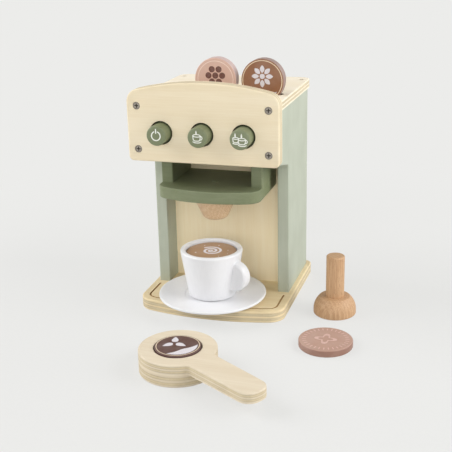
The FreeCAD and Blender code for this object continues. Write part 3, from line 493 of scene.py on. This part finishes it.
def circle(radius, centre=(0, 0), steps=64):
    return arc(radius, 0, 360, centre, steps + 1)[:-1]


def band(radius, width):
    """A thin ring as two loops."""
    return [circle(radius + side * width / 2, steps=128) for side in (1, -1)]


def oval(width, height, centre, start=0, end=360, steps=64):
    """Points along an ellipse between two angles in degrees."""
    return arc(1, start, end, (0, 0), steps) * (width / 2, height / 2) + centre


def oval_band(width, height, centre, thick):
    """An elliptical ring as two loops."""
    return [oval(width + side * thick, height + side * thick, centre)[:-1] for side in (1, -1)]


CAP_STEPS = 12


def stroke(points, width):
    """The outline of a line of that width with round ends."""
    points = np.asarray(points, float)
    runs = np.gradient(points, axis=0)
    runs /= np.linalg.norm(runs, axis=1)[:, None]
    aside = np.column_stack((-runs[:, 1], runs[:, 0])) * width / 2
    heading = np.degrees(np.arctan2(runs[:, 1], runs[:, 0]))
    far = arc(width / 2, heading[-1] + 90, heading[-1] - 90, points[-1], CAP_STEPS)
    near = arc(width / 2, heading[0] - 90, heading[0] - 270, points[0], CAP_STEPS)
    return np.vstack((points + aside, far[1:-1], (points - aside)[::-1], near[1:-1]))


def line(start, end, width):
    return stroke(np.linspace(start, end, 4), width)


# The largest value of sin(t) * sin(t / 2), which makes a drop as wide as its width
DROP_FULLEST = 4 / math.sqrt(27)


def drop(height, width, centre=(0, 0)):
    """A drop with its point upwards."""
    share = np.linspace(0, 2 * math.pi, 48, endpoint=False)
    across = width / 2 * np.sin(share) * np.sin(share / 2) / DROP_FULLEST
    return np.column_stack((centre[0] + across, centre[1] + height / 2 * np.cos(share)))


PETAL_FULLNESS = 0.8


def petal(length, width, inner):
    """A leaf shape that starts at inner on the X axis and points outwards."""
    share = np.linspace(0, 1, 24)
    half = width / 2 * np.sin(share * math.pi) ** PETAL_FULLNESS
    top = np.column_stack((inner + share * length, half))
    return np.vstack((top, (top * (1, -1))[::-1][1:-1]))


def spun(loop, degrees, shift=(0, 0)):
    """A loop turned about the origin, then moved."""
    angle = math.radians(degrees)
    turn = np.array(((math.cos(angle), math.sin(angle)), (-math.sin(angle), math.cos(angle))))
    return loop @ turn + shift


def crescent(radius, depth, middle, spread):
    """A slim moon along the inside of a circle, about a middle angle."""
    outer = arc(radius, middle - spread, middle + spread)
    share = np.linspace(-1, 1, len(outer))
    inner_radius = radius - depth * (1 - share * share)
    angles = np.radians(middle + spread * share)
    inner = np.column_stack((inner_radius * np.cos(angles), inner_radius * np.sin(angles)))
    return np.vstack((outer, inner[::-1][1:-1]))


# Objects and curves

def placed(name, data):
    """A new object of the scene."""
    item = bpy.data.objects.new(name, data)
    bpy.context.scene.collection.objects.link(item)
    return item


def add_points(curve, points):
    """A run of straight stretches through the points, added to a curve."""
    spline = curve.splines.new("POLY")
    spline.points.add(len(points) - 1)
    for point, place in zip(spline.points, points):
        point.co = (*place, 1)
    return spline


def mesh_of(curve):
    """The mesh that a curve makes. The curve itself goes."""
    holder = placed("holder", curve)
    bpy.context.view_layer.update()
    mesh = bpy.data.meshes.new_from_object(holder.evaluated_get(bpy.context.evaluated_depsgraph_get()))
    bpy.data.objects.remove(holder)
    bpy.data.curves.remove(curve)
    return mesh


# Prints: thin sheets of ink that lie on a face and ride with its body

# A sheet's thickness, how far its middle lies over the face, and how much each sheet lies over the last
INK_THICK = 0.07
INK_RISE = INK_THICK / 4
INK_STEP = 0.004
# The way across a print, the way up it and the way it faces
UPWARD = (Vector((1, 0, 0)), Vector((0, 1, 0)), Vector((0, 0, 1)))
FORWARD = (Vector((1, 0, 0)), Vector((0, 0, 1)), Vector((0, -1, 0)))


def face_place(node, facing):
    """A frame at the middle of a node's face: the way it faces is the last of its axes."""
    low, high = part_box(node)
    out = facing[-1]
    place = Matrix(facing).transposed().to_4x4()
    place.translation = (low + high) / 2 + out * abs((high - low).dot(out)) / 2
    return place


def print_on(name, node, facing, body, material, shapes):
    """One print from groups of loops; each group is its own sheet, a hair above the one before."""
    vertices, faces = [], []
    for number, loops in enumerate(shapes):
        curve = bpy.data.curves.new("sheet", "CURVE")
        curve.dimensions = "2D"
        curve.fill_mode = "BOTH"
        curve.extrude = INK_THICK / 2
        for loop in loops:
            add_points(curve, [(x, y, 0) for x, y in loop]).use_cyclic_u = True
        flat = mesh_of(curve)
        start = len(vertices)
        lift = Vector((0, 0, INK_RISE + number * INK_STEP))
        vertices += [(vertex.co + lift) * MM for vertex in flat.vertices]
        faces += [[start + index for index in face.vertices] for face in flat.polygons]
        bpy.data.meshes.remove(flat)
    mesh = bpy.data.meshes.new(name)
    mesh.from_pydata(vertices, [], faces)
    mesh.transform(face_place(node, facing))
    mesh.materials.append(material)
    piece = placed(name, mesh)
    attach(piece, body)


# Button signs: a broken ring with a stroke for power, and steaming cups

POWER_RADIUS, POWER_GAP, POWER_LINE = 4.5, 25, 1.15
POWER_STROKE = ((0, 2.7), (0, 6.7))
CUP_LINE = 0.85
# Shares of the cup's width or depth or of the steam's height, shifts in millimetres, and angles
RIM_FLAT = 0.34
SAUCER_WIDE, SAUCER_FLAT, SAUCER_SHIFT, SAUCER_DROP = 1.12, 0.36, 0.3, 0.5
STEAM_SLIM, STEAM_RISE, STEAM_SHIFT = 0.367, 0.19, -0.4
HANDLE_SIZE, HANDLE_DROP = 0.36, 0.42
SAUCER_ARC, HANDLE_ARC = (190, 350), (85, -75)
# Powers that round the bowl: the smaller, the squarer
SIDE_POWER, FLOOR_POWER = 0.45, 0.6


def cup_sign(x, y, width, depth, steam, handle):
    """A steaming cup on its saucer, in outline: its rim's middle is at x, y."""
    half = width / 2
    share = np.linspace(0, math.pi, 32)
    across = -half * np.sign(np.cos(share)) * np.abs(np.cos(share)) ** SIDE_POWER
    bowl = np.column_stack((across, -depth * np.sin(share) ** FLOOR_POWER)) + (x, y)
    saucer = oval(width * SAUCER_WIDE, width * SAUCER_FLAT,
                  (x + SAUCER_SHIFT, y - depth - SAUCER_DROP), *SAUCER_ARC)
    rising = drop(steam, steam * STEAM_SLIM, (x + STEAM_SHIFT, y + width * STEAM_RISE + steam / 2))
    shapes = [oval_band(width, width * RIM_FLAT, (x, y), CUP_LINE), [stroke(bowl, CUP_LINE)],
              [stroke(saucer, CUP_LINE)], [rising]]
    if handle:
        ring = arc(depth * HANDLE_SIZE, *HANDLE_ARC, (x + half, y - depth * HANDLE_DROP), steps=20)
        shapes.append([stroke(ring, CUP_LINE)])
    return shapes


ICONS = {"power": [[stroke(arc(POWER_RADIUS, 90 + POWER_GAP, 90 + 360 - POWER_GAP), POWER_LINE)],
                   [line(*POWER_STROKE, POWER_LINE)]],
         "one_cup": cup_sign(-0.5, 2.2, width=7.4, depth=5.2, steam=3.8, handle=True),
         "two_cups": cup_sign(-3.8, 1.6, width=5.4, depth=4.2, steam=4.2, handle=False)
                     + cup_sign(2.4, 0.7, width=7.0, depth=4.9, steam=4.4, handle=True)}

icon_ink = ink("icon_ink", ICON_INK)
for name, shapes in ICONS.items():
    print_on(f"icon_{name}", f"button_{name}", FORWARD, f"{name}_button", icon_ink, shapes)

cream_ink, milk_ink = ink("cream_ink", CREAM_INK), ink("milk_ink", MILK_INK)
chocolate_ink, rose_ink = ink("chocolate_ink", CHOCOLATE_INK), ink("rose_ink", ROSE_INK)
blush_ink = ink("blush_ink", BLUSH_INK)

TOKEN_RING, CHOCOLATE_RING, RING_LINE = 20.1, 18.6, 0.7

# Chocolate token: a pale ring and a cluster of seven dark dots
DOT_RADIUS, DOT_REACH, DOT_CENTRE = 3.2, 7.2, (0, 4)
print_on("chocolate_ring", "token_chocolate", FORWARD, "chocolate_token", blush_ink,
         [band(CHOCOLATE_RING, RING_LINE)])
dots = [DOT_CENTRE, *arc(DOT_REACH, 0, 300, DOT_CENTRE, 6)]
print_on("chocolate_dots", "token_chocolate", FORWARD, "chocolate_token", chocolate_ink,
         [[circle(DOT_RADIUS, dot)] for dot in dots])

# Latte token: a cream ring, an eight-petalled rosette and a pale moon along the lower rim
ROSETTE_CENTRE, ROSETTE_HEART = (0, 4.5), 2.6
print_on("latte_ring", "token_latte", FORWARD, "latte_token", cream_ink,
         [band(TOKEN_RING, RING_LINE)])
leaf = petal(length=7.6, width=4.6, inner=3.4)
petals = [[spun(leaf, turn, ROSETTE_CENTRE)] for turn in range(0, 360, 45)]
moon = crescent(radius=18.2, depth=6.0, middle=-90, spread=55)
print_on("latte_rosette", "token_latte", FORWARD, "latte_token", milk_ink,
         petals + [[circle(ROSETTE_HEART, ROSETTE_CENTRE)], [moon]])

# Espresso token: a cream ring, three drops and a pale moon at one side
DROPS_CENTRE, DROPS_REACH = (-4.5, 4.0), 7.2
print_on("espresso_ring", "token_espresso", UPWARD, "espresso_token", cream_ink,
         [band(TOKEN_RING, RING_LINE)])
one_drop = drop(height=10.5, width=6.315, centre=(0, DROPS_REACH))
drops = [[spun(one_drop, turn, DROPS_CENTRE)] for turn in (15, 135, 255)]
moon = crescent(radius=18.4, depth=9.5, middle=-42, spread=62)
print_on("espresso_drops", "token_espresso", UPWARD, "espresso_token", milk_ink,
         drops + [[moon]])

# Coffee in the cup: a foam swirl that widens by so much a radian, and a few bubbles
SWIRL_START, SWIRL_END, SWIRL_WIDENING, SWIRL_LINE = 0.6, 2.4 * 2 * math.pi, 0.74, 2.5
BUBBLES = ((16.5, 5, 0.7), (-14.5, -9, 0.9), (12, -14, 0.6), (-12, 13.5, 0.6), (3, 17, 0.8), (18.5, -4, 0.5))
turns = np.linspace(SWIRL_START, SWIRL_END, 120)
swirl = np.column_stack((np.cos(turns), np.sin(turns))) * (turns * SWIRL_WIDENING)[:, None]
print_on("cup_swirl", "cup_coffee_disc", UPWARD, "cup_disc", milk_ink,
         [[stroke(swirl, SWIRL_LINE)]] + [[circle(size, (x, y), steps=24)] for x, y, size in BUBBLES])

# Loose disc: a ring of short rays about a four-lobed flower, in rose
RAY_START, RAY_END, RAY_LINE = (19.6, 0), (22.6, 0), 1.1
FLOWER_RADIUS, LOBES, LOBE_DEPTH, FLOWER_OUTER, FLOWER_INNER = 6.6, 4, 2.4, 1.25, 0.82
rays = [[spun(line(RAY_START, RAY_END, RAY_LINE), turn)] for turn in range(0, 360, 12)]
angles = np.radians(np.linspace(0, 360, 97))[:-1]
reach = FLOWER_RADIUS + LOBE_DEPTH * np.cos(LOBES * angles)
flower = np.column_stack((reach * np.cos(angles), reach * np.sin(angles)))
print_on("loose_flower", "loose_coffee_disc", UPWARD, "loose_disc", rose_ink,
         rays + [[flower * FLOWER_OUTER, flower * FLOWER_INNER]])


# Button springs: wound wire

SPRING_RADIUS, WIRE_RADIUS, SPRING_TURNS, PRESS = 6.0, 0.4, 4.5, 7.0
STEPS_PER_TURN, WIRE_ROUNDNESS = 24, 3
spring_steel = metal("spring_steel", SPRING_STEEL, SPRING_ROUGHNESS)


def spring(name):
    """One spring's wire, whose rear end stays where it is."""
    low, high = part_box(f"spring_{name}")
    centre = (low + high) / 2
    angles = np.linspace(0, SPRING_TURNS * 2 * math.pi, int(SPRING_TURNS * STEPS_PER_TURN))
    rise = np.linspace(low.y + WIRE_RADIUS * MM, high.y - WIRE_RADIUS * MM, len(angles))
    curve = bpy.data.curves.new(f"coil_{name}", "CURVE")
    curve.dimensions = "3D"
    curve.bevel_depth = WIRE_RADIUS * MM
    curve.bevel_resolution = WIRE_ROUNDNESS
    curve.use_fill_caps = True
    add_points(curve, np.column_stack((centre.x + SPRING_RADIUS * MM * np.cos(angles), rise,
                                       centre.z + SPRING_RADIUS * MM * np.sin(angles))))
    mesh = mesh_of(curve)
    mesh.materials.append(spring_steel)
    mesh.shade_smooth()
    piece = placed(f"coil_{name}", mesh)
    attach(piece, "machine")
    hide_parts(f"spring_{name}")
    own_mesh(piece)


for name in SPRUNG:
    spring(name)


# Floor and background

# Half its width in metres, and how far it lies under the toy in millimetres
FLOOR_HALF, FLOOR_UNDER = 9.0, 0.1
PAPER_CLOUDS, PAPER_ROUGHNESS = (3, 3.0), (0.8, 0.9)
PAPER_GLOSS, PAPER_BUMP = 0.1, 0.02
# How much of its own shading is seen near the toy, and over what distances in millimetres that fades out
FLOOR_SHARE = 0.25
FADE_START, FADE_END, FADE_CENTRE = 230, 620, (30, -60, 0)
EVEN_LIGHT = 0.15


def seen_ray(tree):
    """One for camera, glossy and transmission rays, and nought for others."""
    path = tree.nodes.new("ShaderNodeLightPath")
    seen = path.outputs["Is Camera Ray"]
    for kind in ("Is Glossy Ray", "Is Transmission Ray"):
        larger = tree.nodes.new("ShaderNodeMath")
        larger.operation = "MAXIMUM"
        tree.links.new(seen, larger.inputs[0])
        tree.links.new(path.outputs[kind], larger.inputs[1])
        seen = larger.outputs[0]
    return seen


def background_floor():
    """A pale floor. What the camera sees of it is mostly its plain colour, with a soft shadow left on it."""
    mesh = bpy.data.meshes.new("floor")
    signs = ((-1, -1), (1, -1), (1, 1), (-1, 1))
    corners = [(x * FLOOR_HALF, y * FLOOR_HALF, -FLOOR_UNDER * MM) for x, y in signs]
    mesh.from_pydata(corners, [], [(0, 1, 2, 3)])
    finish = Finish("floor_paper")
    paper = finish.noise(*PAPER_CLOUDS)
    finish.dress(finish.mix(finish.spread(paper), *PAPER), finish.spread(paper, *PAPER_ROUGHNESS), paper,
                 PAPER_BUMP, Specular_IOR_Level=PAPER_GLOSS)
    glow = finish.add("ShaderNodeEmission")
    glow.inputs["Color"].default_value = linear(BACKGROUND)
    away = finish.vector("DISTANCE", finish.place, FADE_CENTRE, output="Value")
    plain = finish.ramp(away, FADE_START, FADE_END, 1 - FLOOR_SHARE, 1.0)
    blend = finish.add("ShaderNodeMixShader")
    finish.feed(blend.inputs[0], finish.math("MULTIPLY", seen_ray(finish.tree), plain))
    finish.feed(blend.inputs[1], finish.shader.outputs[0])
    finish.feed(blend.inputs[2], glow.outputs[0])
    finish.feed(finish.output.inputs["Surface"], blend.outputs[0])
    mesh.materials.append(finish.material)
    floor = placed("floor", mesh)


def studio_world():
    """Even light from all round. Camera, glossy and transmission rays see the background's own colour."""
    world = bpy.data.worlds.new("studio")
    world.use_nodes = True
    tree = world.node_tree
    tree.nodes.clear()
    blend, output = tree.nodes.new("ShaderNodeMixShader"), tree.nodes.new("ShaderNodeOutputWorld")
    tree.links.new(seen_ray(tree), blend.inputs[0])
    for socket, code, strength in ((blend.inputs[1], PURE_WHITE, EVEN_LIGHT),
                                   (blend.inputs[2], BACKGROUND, 1.0)):
        light = tree.nodes.new("ShaderNodeBackground")
        light.inputs["Color"].default_value = linear(code)
        light.inputs["Strength"].default_value = strength
        tree.links.new(light.outputs[0], socket)
    tree.links.new(blend.outputs[0], output.inputs["Surface"])
    bpy.context.scene.world = world


# Lamps: each has its place and size in metres and its power in watts, and faces the toy

LAMP_TARGET = Vector((0.02, -0.05, 0.10))
LAMPS = {"left_lamp": ((-1.6, -0.3, 1.15), 1.3, 33),
         "front_lamp": ((0.15, -2.0, 0.45), 1.9, 24),
         "right_lamp": ((1.7, -0.15, 1.0), 1.3, 31),
         "back_lamp": ((1.1, 1.3, 1.2), 1.2, 8)}


def lamp(name, place, size, power):
    """A square soft lamp."""
    data = bpy.data.lights.new(name, "AREA")
    data.size = size
    data.energy = power
    item = placed(name, data)
    item.location = place
    item.rotation_euler = (LAMP_TARGET - Vector(place)).to_track_quat("-Z", "Y").to_euler()


background_floor()
studio_world()
for name, settings in LAMPS.items():
    lamp(name, *settings)


# The camera: its place in the frame, the angles it looks along, and its focal length in the photo's pixels

CAMERA_PLACE = (0.27415, -0.88084, 0.39271)
YAW, PITCH, ROLL = 17.35, 18.94, -1.32
FOCAL_PIXELS, PHOTO_PIXELS = 887.56, 452
SENSOR = 36.0
NEAR, FAR = 0.05, 50


def photo_camera():
    yaw, pitch, roll = (math.radians(angle) for angle in (YAW, PITCH, ROLL))
    ahead = Vector((-math.sin(yaw) * math.cos(pitch), math.cos(yaw) * math.cos(pitch), -math.sin(pitch)))
    right = Vector((math.cos(yaw), math.sin(yaw), 0))
    up = right.cross(ahead)
    across = math.cos(roll) * right + math.sin(roll) * up
    upward = -math.sin(roll) * right + math.cos(roll) * up
    data = bpy.data.cameras.new("photo_camera")
    data.sensor_width = SENSOR
    data.lens = SENSOR * FOCAL_PIXELS / PHOTO_PIXELS
    data.clip_start, data.clip_end = NEAR, FAR
    camera = placed("photo_camera", data)
    place = Matrix((across, upward, -ahead)).transposed().to_4x4()
    place.translation = CAMERA_PLACE
    camera.matrix_world = place
    bpy.context.scene.camera = camera


photo_camera()
bpy.context.scene.view_settings.view_transform = "Standard"
